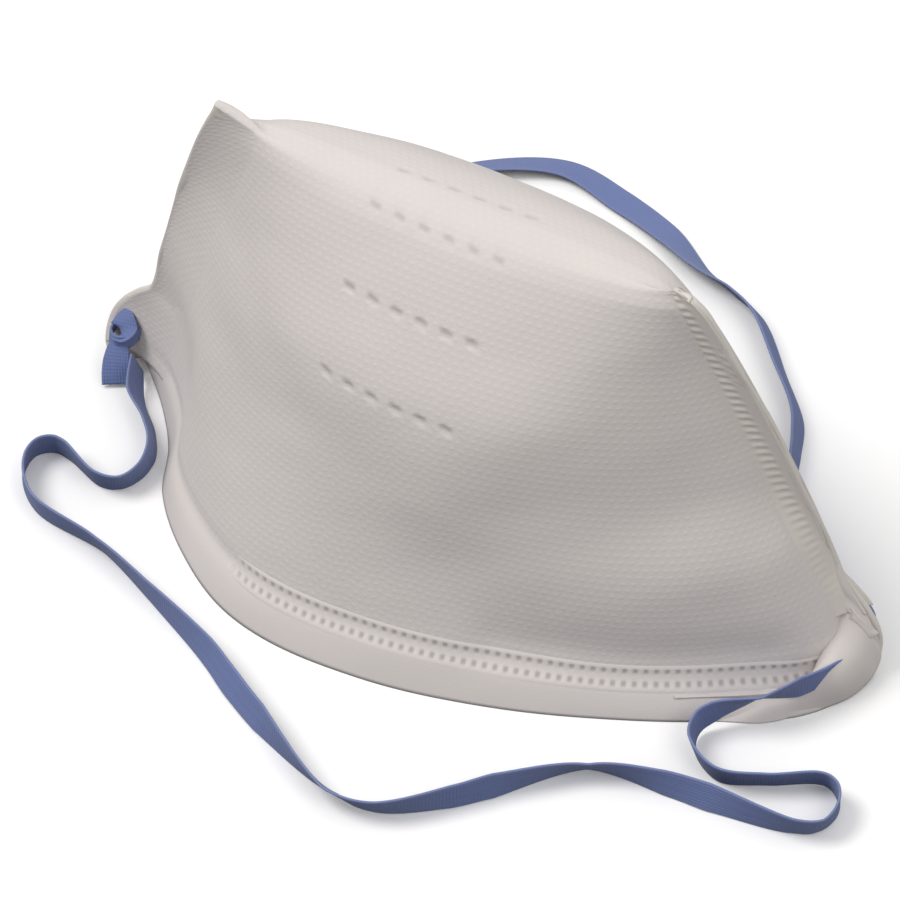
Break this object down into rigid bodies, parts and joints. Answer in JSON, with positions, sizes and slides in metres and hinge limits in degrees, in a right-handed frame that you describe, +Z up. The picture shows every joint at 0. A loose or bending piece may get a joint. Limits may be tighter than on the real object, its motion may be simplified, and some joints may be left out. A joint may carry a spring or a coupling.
{
  "type": "disposable respirator",
  "caption": "Fold-flat pouch respirator of white nonwoven cloth, opened and standing on its face opening, with flat blue elastic head straps knotted at a side tab.",
  "frame": {"origin": "on the table under the middle of the filter shell's box", "axes": "+X from the knotted tab to the plain tab, +Y from the near panel to the far panel, +Z up towards the tip fold"},
  "size_m": [0.1716, 0.1644, 0.0864],
  "materials": {
    "nonwoven": "matt point-bonded polypropylene nonwoven",
    "elastic": "matt woven flat elastic"
  },
  "bodies": {
    "root": {"filter_shell": "nonwoven", "front_strap": "elastic", "back_strap": "elastic", "strap_knot": "elastic"}
  },
  "joints": []
}
